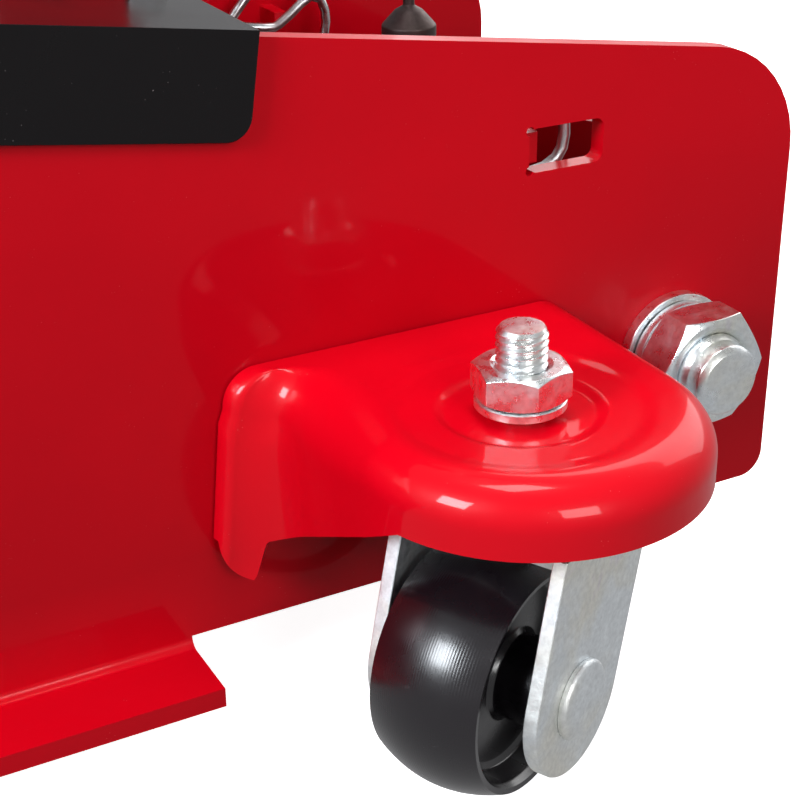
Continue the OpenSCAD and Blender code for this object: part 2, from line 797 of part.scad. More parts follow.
module connecting_rod() translate([px + rod_dx, 0, shaft_z + rod_dz])
    rotate([0, arm_drop, 0]) difference() {
        slab(54, 62) {
            circle(10.5);
            translate([arm_len, 0]) circle(10.5);
            translate([0, -6.5]) square([arm_len, 13]);
        }
        for (x = [0, arm_len])
            translate([x, 0, 0]) bar_y(6.06, 50, 66);
    }

module connecting_rod_left() color([0.05, 0.05, 0.055]) connecting_rod();
module connecting_rod_right() color([0.05, 0.05, 0.055]) mirror([0, 1, 0]) connecting_rod();

module levelling_shaft() color([0.6, 0.62, 0.64])
    translate([saddle_x + rod_dx, 0, saddle_z + rod_dz]) pin_y(6, -64, 64, 0.8);

seat_z = 115.3;

module saddle_bracket() color([0.7, 0.02, 0.06]) translate([saddle_x, 0, 0]) difference() {
    union() {
        translate([-32, -40, 107]) cube([64, 80, 8]);
        translate([0, 0, 85]) cylinder(r = 22, h = 23);
        both_sides() translate([0, 0, saddle_z]) slab(32, 40) {
            rotate(rod_dir) link2d(15, 12, rod_offset);
            translate([-14.5, 0]) square([29, 107.5 - saddle_z]);
        }
    }
    translate([0, 0, 80]) cylinder(r = 15.05, h = 40);
    translate([0, 0, saddle_z]) bar_y(8.06, -60, 60);
    translate([rod_dx, 0, saddle_z + rod_dz]) bar_y(6, -60, 60);
}

module saddle() color([0.06, 0.06, 0.065]) translate([saddle_x, 0, 0]) {
    difference() {
        union() {
            translate([0, 0, seat_z]) cylinder(r = saddle_r, h = 19.7);
            translate([0, 0, 80]) cylinder(r = 15, h = seat_z - 79);
            translate([0, 0, 80]) cylinder(r = 18, h = 4.6);
        }
        translate([0, 0, seat_z + 7]) cylinder(r = saddle_r - 9, h = 20);
        for (a = [0:60:150])
            rotate([0, 0, a]) translate([-60, -8, seat_z + 12]) cube([120, 16, 20]);
    }
}

// ---- springs -------------------------------------------------------------

// A round wire swept along a list of points
function tangent(p, i) = unit(p[min(i + 1, len(p) - 1)] - p[max(i - 1, 0)]);
function flat_to(n, t) = unit(n - (n * t) * t);
function normals(p, n0) = [
    for (i = 0, n = flat_to(n0, tangent(p, 0)); i < len(p);
         i = i + 1, n = flat_to(n, tangent(p, min(i, len(p) - 1)))) n
];

module wire(path, r, sides, n0) {
    n = len(path);
    ns = normals(path, n0);
    pts = [
        for (i = [0:n - 1]) let (t = tangent(path, i), b = cross(t, ns[i]))
            for (k = [0:sides - 1]) let (a = 360 * k / sides)
                path[i] + r * (cos(a) * ns[i] + sin(a) * b)
    ];
    walls = [
        for (i = [0:n - 2]) for (k = [0:sides - 1]) let (m = (k + 1) % sides)
            [(i + 1) * sides + k, (i + 1) * sides + m, i * sides + m, i * sides + k]
    ];
    start = [for (k = [0:sides - 1]) k];
    end = [for (k = [sides - 1:-1:0]) (n - 1) * sides + k];
    polyhedron(pts, concat(walls, [start, end]));
}

wire_r = 1.3;
coil_r = 5.2;
coil_turns = 24;
coil_pitch = 2.9;
hook_r = 6.4;
hook_len = 34;

tab_x = tongue_x0 + 3;
tab_z = slot_z0 + 4.7;
lug_x = shaft_x + lug_r * cos(lug_dir);
lug_z = shaft_z + lug_r * sin(lug_dir);
spring_len = norm([lug_x - tab_x, lug_z - tab_z]);
spring_drop = atan2(tab_z - lug_z, lug_x - tab_x);

function arc(cx, cz, r, a0, a1, n) = [
    for (i = [0:n]) let (a = a0 + (a1 - a0) * i / n) [cx + r * cos(a), 0, cz + r * sin(a)]
];

function spring_path() = let (
    coil0 = hook_len,
    coil1 = coil0 + coil_turns * coil_pitch,
    steps = 12
) concat(
    [[coil0 - 4, 0, hook_r - 0.6]],
    arc(0, 0, hook_r, 90, 270, 10),
    [[coil0 - 4, 0, -hook_r + 0.6]],
    [for (i = [0:coil_turns * steps]) let (a = -90 + 360 * i / steps)
        [coil0 + coil_pitch * i / steps, coil_r * cos(a), coil_r * sin(a)]],
    [[coil1 + 5, 0, -hook_r + 0.6]],
    arc(spring_len, 0, hook_r, -90, 120, 10)
);

module return_spring() translate([from_rear(tab_x), 58.2, tab_z]) rotate([0, spring_drop, 0])
    wire(spring_path(), wire_r, 6, [0, 1, 0]);

module return_spring_left() color([0.7, 0.72, 0.75]) return_spring();
module return_spring_right() color([0.7, 0.72, 0.75]) mirror([0, 1, 0]) return_spring();

module plunger_spring() color([0.7, 0.72, 0.75]) {
    turns = 5;
    low = block_top + 1.4;
    high = cap_top - 4 - 1.4;
    path = [
        for (i = [0:turns * 16]) let (a = 360 * i / 16)
            [9.5 * cos(a), 9.5 * sin(a), low + (high - low) * i / (turns * 16)]
    ];
    translate([from_rear(plunger_x), 0, 0]) wire(path, 0.9, 8, [0, 0, 1]);
}

// ---- nodes ---------------------------------------------------------------

side_plate_left();
side_plate_right();
caster_bracket_left();
caster_bracket_right();
top_cover();
cover_screws();
cross_members();
front_axle();
axle_washers();
axle_nuts();
arm_shaft();
arm_shaft_nuts();
rod_anchor_pins();
power_unit_block();
trunnion_studs();
trunnion_washers();
trunnion_spring_washers();
trunnion_nuts();
reservoir_tube();
ram_cylinder();
gland_nut();
oil_filler_plug();
socket_pivot_bolts();
caster_stems();
caster_nuts();
caster_spring_washers();
release_valve_spindle();
pump_plunger();
plunger_spring();
ram_rod();
ram_head();
arm_plate_left();
arm_plate_right();
arm_hub_tube();
arm_cross_tube();
lever_plates();
lever_pin();
saddle_pivot_pins();
return_spring_left();
return_spring_right();
connecting_rod_left();
connecting_rod_right();
saddle_bracket();
levelling_shaft();
saddle();
front_wheel_left();
front_wheel_right();
caster_fork_left();
caster_fork_right();
caster_axle_left();
caster_axle_right();
caster_wheel_left();
caster_wheel_right();
handle_socket();
roller_pin();
pump_roller();
release_sleeve();
clamp_screw();
handle_lower();
handle_upper();
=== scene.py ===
import json
import math

import bmesh
import bpy
from mathutils import Matrix, Vector


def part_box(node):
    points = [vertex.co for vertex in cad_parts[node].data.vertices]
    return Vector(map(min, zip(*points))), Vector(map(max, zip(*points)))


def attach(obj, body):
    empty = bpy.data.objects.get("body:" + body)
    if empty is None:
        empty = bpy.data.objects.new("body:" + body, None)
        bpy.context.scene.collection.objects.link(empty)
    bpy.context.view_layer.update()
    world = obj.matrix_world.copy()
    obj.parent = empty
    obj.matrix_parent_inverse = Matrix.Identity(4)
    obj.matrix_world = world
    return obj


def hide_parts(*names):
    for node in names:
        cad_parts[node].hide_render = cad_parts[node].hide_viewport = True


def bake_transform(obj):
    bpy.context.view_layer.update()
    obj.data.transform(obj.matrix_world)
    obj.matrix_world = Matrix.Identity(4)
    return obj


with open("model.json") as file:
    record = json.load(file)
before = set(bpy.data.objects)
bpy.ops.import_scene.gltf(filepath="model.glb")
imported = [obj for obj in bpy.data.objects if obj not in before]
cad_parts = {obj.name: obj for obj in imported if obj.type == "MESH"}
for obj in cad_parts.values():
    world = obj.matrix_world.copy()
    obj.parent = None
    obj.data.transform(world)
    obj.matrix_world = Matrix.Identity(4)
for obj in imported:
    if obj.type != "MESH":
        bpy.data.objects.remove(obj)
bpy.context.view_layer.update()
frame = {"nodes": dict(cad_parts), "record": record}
MM = 0.001
TAU = 2 * math.pi

# ---------------------------------------------------------------- materials


class Nodes:
    """A material's node tree with short calls for the nodes it uses."""

    def __init__(self, name):
        self.mat = bpy.data.materials.new(name)
        self.mat.use_nodes = True
        self.tree = self.mat.node_tree
        self.bsdf = next(n for n in self.tree.nodes if n.type == "BSDF_PRINCIPLED")
        self.coords = self.tree.nodes.new("ShaderNodeTexCoord")

    def new(self, kind, **values):
        node = self.tree.nodes.new(kind)
        for key, value in values.items():
            setattr(node, key, value)
        return node

    def link(self, out, into):
        self.tree.links.new(out, into)

    def stretched(self, scale):
        mapping = self.new("ShaderNodeMapping")
        mapping.inputs["Scale"].default_value = scale
        self.link(self.coords.outputs["Object"], mapping.inputs["Vector"])
        return mapping.outputs["Vector"]

    def noise(self, scale, detail=4, roughness=0.5, vector=None, distortion=0):
        node = self.new("ShaderNodeTexNoise")
        node.inputs["Scale"].default_value = scale
        node.inputs["Detail"].default_value = detail
        node.inputs["Roughness"].default_value = roughness
        node.inputs["Distortion"].default_value = distortion
        self.link(vector or self.coords.outputs["Object"], node.inputs["Vector"])
        return node.outputs["Fac"]

    def specks(self, scale):
        node = self.new("ShaderNodeTexVoronoi")
        node.inputs["Scale"].default_value = scale
        self.link(self.coords.outputs["Object"], node.inputs["Vector"])
        return node.outputs["Distance"]

    def ramp(self, fac, stops):
        node = self.new("ShaderNodeValToRGB")
        elements = node.color_ramp.elements
        while len(elements) < len(stops):
            elements.new(0.5)
        for element, (place, value) in zip(elements, stops):
            element.position = place
            rgb = value if isinstance(value, tuple) else (value, value, value)
            element.color = (*rgb, 1)
        self.link(fac, node.inputs["Fac"])
        return node.outputs["Color"]

    def math(self, operation, a, b):
        node = self.new("ShaderNodeMath", operation=operation)
        for socket, value in zip(node.inputs, (a, b)):
            if isinstance(value, (int, float)):
                socket.default_value = value
            else:
                self.link(value, socket)
        return node.outputs["Value"]

    def mix(self, fac, a, b, blend="MIX"):
        node = self.new("ShaderNodeMix", data_type="RGBA", blend_type=blend)
        for socket, value in ((node.inputs[0], fac), (node.inputs[6], a), (node.inputs[7], b)):
            if isinstance(value, (int, float)):
                socket.default_value = value
            elif isinstance(value, tuple):
                socket.default_value = (*value, 1)
            else:
                self.link(value, socket)
        return node.outputs[2]

    def bump(self, height, strength, distance, under=None):
        node = self.new("ShaderNodeBump")
        node.inputs["Strength"].default_value = strength
        node.inputs["Distance"].default_value = distance
        self.link(height, node.inputs["Height"])
        if under is not None:
            self.link(under, node.inputs["Normal"])
        return node.outputs["Normal"]

    def shade(self, color=None, roughness=None, normal=None, **fixed):
        for name, value in (("Base Color", color), ("Roughness", roughness), ("Normal", normal)):
            if value is not None:
                self.link(value, self.bsdf.inputs[name])
        for name, value in fixed.items():
            self.bsdf.inputs[name.replace("_", " ")].default_value = value
        return self.mat


def red_paint(name, base, deep, gloss=0.4, dust=0.3):
    """Thick glossy enamel: slight orange peel, a little dust, a few rubbed patches, and painted
    shade towards the floor.
    """
    n = Nodes(name)
    tone = n.mix(n.ramp(n.noise(11, 3), [(0.3, 0.0), (0.7, 1.0)]), deep, base)
    # painted shade: the paint colour is darkened over the lowest 125 mm, where eight times Z
    # reaches one, in place of the light falling off towards the floor
    split = n.new("ShaderNodeSeparateXYZ")
    n.link(n.coords.outputs["Object"], split.inputs[0])
    height = n.math("MULTIPLY", split.outputs["Z"], 8)
    # painted shade: this ramp darkens the red paint low down
    low = n.ramp(height, [(0.12, 0.95), (0.3, 0.74), (0.9, 1.0)])
    tone = n.mix(1.0, tone, low, "MULTIPLY")
    rubbed = n.ramp(n.noise(70, 6, 0.65, n.stretched((1, 1, 3)), 1.5), [(0.7, 0.0), (0.8, 1.0)])
    patch = n.ramp(n.noise(16, 2), [(0.56, 0.0), (0.68, 1.0)])
    worn = n.math("MULTIPLY", n.math("MULTIPLY", rubbed, patch), dust)
    grain = n.ramp(n.specks(1100), [(0.06, 1.0), (0.12, 0.0)])
    few = n.ramp(n.noise(260, 2), [(0.6, 0.0), (0.7, 1.0)])
    motes = n.math("MULTIPLY", n.math("MULTIPLY", grain, few), 0.4)
    color = n.mix(n.math("MAXIMUM", worn, motes), tone, (0.85, 0.3, 0.28))
    rough = n.ramp(n.noise(45, 4), [(0.3, 0.3), (0.7, 0.42)])
    peel = n.bump(n.noise(260, 2, 0.4), 0.1, 0.0006)
    return n.shade(
        color, rough, peel, Coat_Weight=gloss, Coat_Roughness=0.05, Specular_IOR_Level=0.1,
    )


def zinc(name, tint=(0.92, 0.96, 0.98), rough=(0.2, 0.42)):
    """Bright zinc plate with a faint yellow and violet passivation."""
    n = Nodes(name)
    yellowish = tuple(a * b for a, b in zip(tint, (1.0, 0.95, 0.86)))
    bluish = tuple(a * b for a, b in zip(tint, (0.92, 0.8, 0.92)))
    patches = n.noise(45, 3, 0.5, None, 0.6)
    violet = n.ramp(patches, [(0.44, tint), (0.6, yellowish), (0.74, bluish)])
    fine = n.ramp(n.noise(900, 3, 0.6), [(0.3, 0.82), (0.7, 1.0)])
    color = n.mix(1.0, violet, fine, "MULTIPLY")
    roughness = n.ramp(n.noise(320, 4, 0.6), [(0.3, rough[0]), (0.7, rough[1])])
    dents = n.bump(n.noise(1400, 3, 0.6), 0.12, 0.0003)
    return n.shade(color, roughness, dents, Metallic=1.0)


def steel(name, color=(0.42, 0.43, 0.44)):
    """Plain steel with fine machining marks."""
    n = Nodes(name)
    lines = n.noise(500, 3, 0.6)
    tone = n.mix(1.0, n.ramp(lines, [(0.3, 0.7), (0.7, 1.0)]), color, "MULTIPLY")
    roughness = n.ramp(n.noise(90, 4), [(0.3, 0.22), (0.7, 0.45)])
    return n.shade(tone, roughness, n.bump(lines, 0.1, 0.0002), Metallic=1.0)


def black_paint(name, color=(0.006, 0.005, 0.0055)):
    """Satin black with grey dust in fine specks."""
    n = Nodes(name)
    grain = n.ramp(n.specks(700), [(0.06, 1.0), (0.12, 0.0)])
    few = n.ramp(n.noise(120, 3), [(0.55, 0.0), (0.72, 1.0)])
    dusty = n.math("MULTIPLY", n.math("MULTIPLY", grain, few), 0.5)
    base = n.mix(dusty, color, (0.4, 0.36, 0.36))
    roughness = n.ramp(n.noise(60, 4), [(0.3, 0.14), (0.7, 0.24)])
    uneven = n.bump(n.noise(500, 2, 0.5), 0.04, 0.0003)
    return n.shade(base, roughness, uneven, Specular_IOR_Level=0.2)


def moulded_black(name, rings=0.12):
    """Near-black moulded plastic, turned on a lathe: fine rings around the axle."""
    n = Nodes(name)
    node = n.new("ShaderNodeTexWave", wave_type="BANDS", bands_direction="Z")
    node.inputs["Scale"].default_value = 560
    node.inputs["Distortion"].default_value = 0.5
    node.inputs["Detail"].default_value = 2
    n.link(n.coords.outputs["Object"], node.inputs["Vector"])
    scuffed = n.ramp(n.noise(180, 5, 0.65, None, 1.0), [(0.66, 0.0), (0.8, 1.0)])
    color = n.mix(n.math("MULTIPLY", scuffed, 0.3), (0.006, 0.004, 0.006), (0.14, 0.13, 0.14))
    roughness = n.ramp(n.noise(120, 4), [(0.3, 0.22), (0.7, 0.3)])
    normal = n.bump(node.outputs["Fac"], rings, 0.00012, n.bump(n.noise(700, 3), 0.08, 0.0002))
    return n.shade(
        color, roughness, normal, Specular_IOR_Level=0.6, Coat_Weight=0.35, Coat_Roughness=0.18,
    )


RED = red_paint("red_enamel", (0.61, 0.0, 0.008), (0.53, 0.0, 0.007), 0.18)
# painted light: the brackets' red enamel has a lighter base colour than the plates', standing in
# for the stronger light falling on the brackets
RED_BRACKET_PAINTED_LIGHT = red_paint("red_enamel_bracket_painted_light", (0.78, 0.0, 0.010), (0.72, 0.0, 0.009), 0.36, 0.2)
# painted shade: the parts inside the frame get a much darker copy of the red enamel, standing in
# for the shade in there
RED_INNER_PAINTED_SHADE = red_paint("red_enamel_inner_painted_shade", (0.26, 0.0, 0.003), (0.2, 0.0, 0.002), 0.1, 0.4)
BLACK = black_paint("black_satin")
ZINC = zinc("zinc_plate")
ZINC_BIG = zinc("zinc_plate_violet", (0.90, 0.95, 0.98), (0.24, 0.38))
ZINC_FORK = zinc("zinc_plate_fork", (0.90, 0.94, 0.96), (0.4, 0.58))
# the oil filler plug's zinc is darkened to near black
ZINC_DARKENED = zinc("zinc_darkened", (0.09, 0.07, 0.07), (0.4, 0.6))
STEEL = steel("machined_steel")
GROUND = steel("ground_steel", (0.68, 0.69, 0.7))
WIRE = steel("spring_wire", (0.6, 0.61, 0.62))
WHEEL = moulded_black("turned_black_plastic")
HUB = moulded_black("moulded_black_hub", 0.02)

BY_SLOT = {
    "red_paint": RED, "black_paint": BLACK, "black_plastic": WHEEL, "zinc": ZINC,
    "plain_steel": STEEL, "ground_steel": GROUND, "spring_wire": WIRE,
}
slot_of = {s["node"]: s["material_slot"] for s in frame["record"]["subparts"]}
body_of_node = {n: b for b, ns in frame["record"]["behaviour"]["bodies"].items() for n in ns}

# ---------------------------------------------------------------- helpers


def add_mesh(name, verts, faces, material):
    mesh = bpy.data.meshes.new(name)
    mesh.from_pydata([tuple(v) for v in verts], [], faces)
    mesh.validate()
    obj = bpy.data.objects.new(name, mesh)
    bpy.context.scene.collection.objects.link(obj)
    mesh.materials.append(material)
    tidy_normals(mesh)
    return obj


def tidy_normals(mesh):
    bm = bmesh.new()
    bm.from_mesh(mesh)
    bmesh.ops.recalc_face_normals(bm, faces=bm.faces)
    bm.to_mesh(mesh)
    bm.free()


def smooth_by_angle(mesh, degrees):
    mesh.polygons.foreach_set("use_smooth", [True] * len(mesh.polygons))
    mesh.set_sharp_from_angle(angle=math.radians(degrees))


def fasten(obj, node):
    """Puts a piece on its node's body, in the node's place."""
    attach(obj, body_of_node[node])
    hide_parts(node)
    return obj


def polish(node, width, material):
    """A copy of a CAD node with its sharp edges broken over a width in millimetres."""
    source = frame["nodes"][node]
    bm = bmesh.new()
    bm.from_mesh(source.data)
    bmesh.ops.remove_doubles(bm, verts=bm.verts, dist=2e-6)
    bmesh.ops.dissolve_limit(bm, angle_limit=math.radians(0.6), verts=bm.verts, edges=bm.edges)
    mesh = bpy.data.meshes.new(node + "_finish")
    bm.to_mesh(mesh)
    bm.free()
    obj = bpy.data.objects.new(mesh.name, mesh)
    bpy.context.scene.collection.objects.link(obj)
    mesh.materials.clear()
    mesh.materials.append(material or BY_SLOT[slot_of[node]])
    bevel = obj.modifiers.new("edges", "BEVEL")
    bevel.width = width * MM
    bevel.segments = 2
    bevel.limit_method = "ANGLE"
    bevel.angle_limit = math.radians(28)
    apply_modifiers(obj)
    smooth_by_angle(obj.data, 40)
    weigh_normals(obj)
    return fasten(obj, node)


def weigh_normals(obj):
    """Large flat faces keep their own normal, and their broken edges blend into it."""
    weighted = obj.modifiers.new("normals", "WEIGHTED_NORMAL")
    weighted.mode = "FACE_AREA_WITH_ANGLE"
    weighted.weight = 80
    weighted.keep_sharp = True
    apply_modifiers(obj)


def apply_modifiers(obj):
    bpy.context.view_layer.update()
    graph = bpy.context.evaluated_depsgraph_get()
    mesh = bpy.data.meshes.new_from_object(obj.evaluated_get(graph))
    obj.modifiers.clear()
    old = obj.data
    obj.data = mesh
    mesh.name = old.name
    bpy.data.meshes.remove(old)


# ---------------------------------------------------------------- turned and threaded pieces


def circle(radius, z, segments):
    """Points of a level circle around Z."""
    turns = [TAU * k / segments for k in range(segments)]
    return [Vector((radius * math.cos(a), radius * math.sin(a), z)) for a in turns]


def lathe_rows(profile, segments):
    """Rings of vertices around Z for a profile of (radius, height), and the faces between them."""
    verts, faces, rows = [], [], []
    for r, z in profile:
        if r < 1e-6:
            rows.append([len(verts)] * segments)
            verts.append(Vector((0, 0, z)))
            continue
        rows.append(list(range(len(verts), len(verts) + segments)))
        verts += circle(r, z, segments)
    join_rows(rows, faces, segments)
    return verts, faces


def join_rows(rows, faces, segments):
    """Adds the faces between neighbouring rings."""
    for low, high in zip(rows, rows[1:]):
        for k in range(segments):
            m = (k + 1) % segments
            quad = [low[k], low[m], high[m], high[k]]
            face = [v for i, v in enumerate(quad) if v not in quad[:i]]
            if len(face) > 2:
                faces.append(face)


def rounded(points, radius, steps=4):
    """A profile whose inner corners are turned to a small radius."""
    out = [points[0]]
    for before, here, after in zip(points, points[1:], points[2:]):
        b, h, a = Vector(before), Vector(here), Vector(after)
        cut = min(radius, (b - h).length * 0.45, (a - h).length * 0.45)
        start, end = h + (b - h).normalized() * cut, h + (a - h).normalized() * cut
        for i in range(steps + 1):
            t = i / steps
            out.append(tuple((1 - t) ** 2 * start + 2 * t * (1 - t) * h + t * t * end))
    out.append(points[-1])
    return out


def thread_rows(z0, z1, radius, depth, pitch, tip, segments, verts, rows):
    """A screw thread that runs out into a chamfered tip."""
    steps = int((z1 - z0) / pitch * 14)
    for i in range(steps + 1):
        z = z0 + (z1 - z0) * i / steps
        row = []
        for k in range(segments):
            a = TAU * k / segments
            phase = (z / pitch - k / segments) % 1
            crest = min(1, max(0, 1.25 - 2.5 * abs(phase - 0.5) * 1.15))
            r = radius - depth * (1 - crest)
            r = min(r, radius - tip + max(0, z1 - z) * 0.75)
            row.append(len(verts))
            verts.append(Vector((r * math.cos(a), r * math.sin(a), z)))
        rows.append(row)


def sweep(path, section):
    """Sweeps a section of (sideways, upward) points along a path, and closes both ends."""
    verts, rows = [], []
    for point, side, up in path:
        rows.append(list(range(len(verts), len(verts) + len(section))))
        verts += [point + side * a + up * b for a, b in section]
    faces = []
    join_rows(rows, faces, len(section))
    faces += [list(reversed(rows[0])), rows[-1]]
    return verts, faces


def wire_path(points, radius, sides=12, rough_up=(0, 1, 0)):
    """A round wire along a list of points."""
    pts = [Vector(p) for p in points]
    path = []
    up = Vector(rough_up)
    for i, p in enumerate(pts):
        along = (pts[min(i + 1, len(pts) - 1)] - pts[max(i - 1, 0)]).normalized()
        up = (up - along * up.dot(along)).normalized()
        path.append((p, along.cross(up), up))
    turns = [TAU * k / sides for k in range(sides)]
    ring = [(radius * math.cos(a), radius * math.sin(a)) for a in turns]
    return sweep(path, ring)


def build(name, parts, place, material, flip=False, degrees=35):
    """Joins (verts, faces) parts drawn in millimetres, and puts the piece in its place."""
    verts, faces = [], []
    for part_verts, part_faces in parts:
        faces += [[i + len(verts) for i in f] for f in part_faces]
        verts += part_verts
    placed = [place @ (Vector(v) * MM) for v in verts]
    if flip:
        placed = [Vector((v.x, -v.y, v.z)) for v in placed]
    obj = add_mesh(name, placed, faces, material)
    smooth_by_angle(obj.data, degrees)
    return obj


JOINTS = {j["name"]: j for j in frame["record"]["behaviour"]["joints"]}
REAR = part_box("side_plate_left")[0].x
PLATE_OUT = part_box("caster_bracket_left")[0].y
STEM = Vector(JOINTS["swivel_left"]["pos_m"])
STEM_AXIS = Matrix.Translation((STEM.x, STEM.y, 0))
SIDES = (("left", False), ("right", True))


def lifted(part, height):
    verts, faces = part
    matrix = Matrix.Translation((0, 0, height))
    return [matrix @ v for v in verts], faces


def on_axis(joint):
    """A joint's own place, with Z along its axis."""
    spec = JOINTS[joint]
    turn = Vector(spec["axis"]).to_track_quat("Z", "Y").to_matrix().to_4x4()
    return Matrix.Translation(spec["pos_m"]) @ turn


def caster_stem():
    """The caster's pivot: a turned body, then an M10 thread with a domed end."""
    body = lathe_rows(rounded([
        (0, 51.7), (7.2, 51.7), (8, 52.6), (8, 55.7), (5, 55.7), (5, 59.4), (13, 59.4), (13, 70),
        (16, 70), (16, 74), (5, 74), (5, 78),
    ], 0.25), 72)
    verts, rows, faces = [], [], []
    segments = 72
    thread_rows(77.5, 94.4, 5.0, 0.62, 1.5, 0.75, segments, verts, rows)
    join_rows(rows, faces, segments)
    cap = len(verts)
    verts.append(Vector((0, 0, 94.15)))
    ring_at = len(verts)
    verts += circle(3.7, 94.42, segments)
    top = rows[-1]
    for k in range(segments):
        m = (k + 1) % segments
        faces.append([top[k], top[m], ring_at + m, ring_at + k])
        faces.append([ring_at + k, ring_at + m, cap])
    return [body, (verts, faces)]


def split_washer(inner, outer, thick, at, lift, gap=7):
    """One turn of square wire with its two ends sprung apart."""
    path = []
    steps = 90
    for i in range(steps + 1):
        t = i / steps
        a = math.radians(at + gap / 2 + (360 - gap) * t)
        out = Vector((math.cos(a), math.sin(a), 0))
        centre = out * (inner + outer) / 2
        rise = Vector((0, 0, thick / 2 + lift * (t - 0.5)))
        path.append((centre + rise, out, Vector((0, 0, 1))))
    w, h, c = (outer - inner) / 2, thick / 2, 0.22
    section = [
        (w, -h + c), (w, h - c), (w - c, h), (-w + c, h),
        (-w, h - c), (-w, -h + c), (-w + c, -h), (w - c, -h),
    ]
    return sweep(path, section)


# Caster wheel, in millimetres: radius, tread width, where the turned tread gives way to the
# moulded hub, and how far the hub and the rivet reach along the axle on each side
WHEEL_R, TREAD, HUB_R = 25.6, 24.0, 21.9
HUB_NEAR, HUB_FAR = 17.45, 13.85
RIVET_NEAR, RIVET_FAR = 22.85, 19.25


def wheel_profile():
    half = TREAD / 2
    across = [-half + 2 * half * i / 40 for i in range(41)]
    crown = [(WHEEL_R - 2.9 * (w / half) ** 2, w) for w in across]
    face = [(8.65, -7.2), (9.6, -6), (18.6, -5.4), (19.8, -6.2), (20.9, -10.6), (21.6, -half + 0.2)]
    inner = [(8.1, -HUB_FAR), (8.65, -HUB_FAR + 0.5)] + face
    outer = [(r, -w) for r, w in reversed(face)] + [(8.65, HUB_NEAR - 0.5), (8.1, HUB_NEAR)]
    near = rounded(outer + [(4.05, HUB_NEAR)], 0.35)
    return rounded([(4.05, -HUB_FAR)] + inner, 0.35) + crown + near


def spinner(name, profile, joint, material, node, segments=128):
    """A turned piece on a joint's own axis."""
    verts, faces = lathe_rows(profile, segments)
    rows = [list(range(i * segments, (i + 1) * segments)) for i in (len(profile) - 1, 0)]
    join_rows(rows, faces, segments)
    local = [Vector(v) * MM for v in verts]
    obj = add_mesh(name, local, faces, material)
    smooth_by_angle(obj.data, 38)
    obj.matrix_world = on_axis(joint)
    return fasten(obj, node)


for side, _ in SIDES:
    tread = spinner(
        "caster_tread_" + side, wheel_profile(), "caster_roll_" + side, WHEEL,
        "caster_wheel_" + side,
    )
    tread.data.materials.append(HUB)
    for face in tread.data.polygons:
        reach = math.hypot(face.center.x, face.center.y) / MM
        face.material_index = 0 if reach > HUB_R else 1


RIVET_HEAD = [(0, 0), (6.9, 0), (7.7, 0.25), (8.2, 0.85), (8.2, 1.85), (4, 1.85)]


def rivet_axle(side):
    """The caster's axle, headed over at both fork legs."""
    near = [(r, RIVET_NEAR - w) for r, w in RIVET_HEAD]
    profile = near + [(4, 0)] + [(r, w - RIVET_FAR) for r, w in reversed(RIVET_HEAD)]
    place = on_axis("caster_roll_" + side)
    verts, faces = lathe_rows(rounded(profile, 0.3), 72)
    placed = [place @ (v * MM) for v in verts]
    obj = add_mesh("caster_rivet_" + side, placed, faces, ZINC_FORK)
    smooth_by_angle(obj.data, 35)
    fasten(obj, "caster_axle_" + side)


for side, _ in SIDES:
    rivet_axle(side)


def pair(name, parts, place, material, node):
    """Both mirrored pieces of a node that holds one on each side."""
    one = build(name + "_left", parts, place, material)
    other = build(name + "_right", parts, place, material, True)
    for obj in (one, other):
        fasten(obj, node)


pair("caster_stud", caster_stem(), STEM_AXIS, ZINC, "caster_stems")
small_ring = lifted(split_washer(5.2, 8.9, 1.85, 148, 0.35), 78.17)
pair("caster_split_ring", [small_ring], STEM_AXIS, ZINC, "caster_spring_washers")

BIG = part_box("trunnion_washers")
STUD_X = (BIG[0].x + BIG[1].x) / 2
STUD_Z = (BIG[0].z + BIG[1].z) / 2
OUTWARD = Matrix.Translation((STUD_X, PLATE_OUT, STUD_Z)) @ Matrix.Rotation(-math.pi / 2, 4, "X")
big_ring = lifted(split_washer(9.5, 12.6, 2.5, 30, 0.4), 3.2)
pair("big_split_ring", [big_ring], OUTWARD, ZINC_BIG, "trunnion_spring_washers")

# ---------------------------------------------------------------- caster brackets

# Plan of the pressed bracket: X from the plate's rear edge, Y from the plate's outer face
STEM_X = 97.3
NOSE_X, NOSE_Y, NOSE_R = 95.5, 41.9, 36.0
TOP = 78.0
GAP = 0.6
FLARE_R, FLARE_Y, FLARE_TURN = 11.2, 15.5, math.radians(78)
FLARE_X = NOSE_X + NOSE_R + FLARE_R


def smoothstep(a, b, x):
    t = min(1, max(0, (x - a) / (b - a)))
    return t * t * (3 - 2 * t)


def front_outline():
    """Points of the front wall, from the plate's face out to the nose."""
    end_x = FLARE_X - FLARE_R * math.cos(FLARE_TURN)
    end_y = FLARE_Y - FLARE_R * math.sin(FLARE_TURN)
    points = []
    for i in range(10):
        a = math.pi / 2 * (1 - i / 10)
        points.append((end_x + 2.8 * math.sin(a), end_y - (end_y - GAP) * (1 - math.cos(a))))
    for i in range(31):
        a = FLARE_TURN * (1 - i / 30)
        points.append((FLARE_X - FLARE_R * math.cos(a), FLARE_Y - FLARE_R * math.sin(a)))
    for i in range(1, 31):
        points.append((NOSE_X + NOSE_R, FLARE_Y + (NOSE_Y - FLARE_Y) * i / 30))
    return points


def lower_edge(x, y):
    """Height of the pressed sheet's lower edge: a rounded foot, a slope, then the level nose."""
    line = 41.3 + max(0, min(y, 53) - 7.8) * 0.5154
    past = max(0, x + 2.3 - 135.6)
    foot = 41.2 - math.sqrt(max(0, 9.5 ** 2 - past ** 2))
    return foot + (line - foot) * smoothstep(6.3, 7.9, y)


def pressed_rings(x, y):
    """Two shallow steps pressed around the stem."""
    r = math.hypot(x - STEM_X, y - NOSE_Y)
    return -0.9 * (1 - smoothstep(14.2, 17.0, r)) - 0.5 * (1 - smoothstep(22.5, 26.5, r))


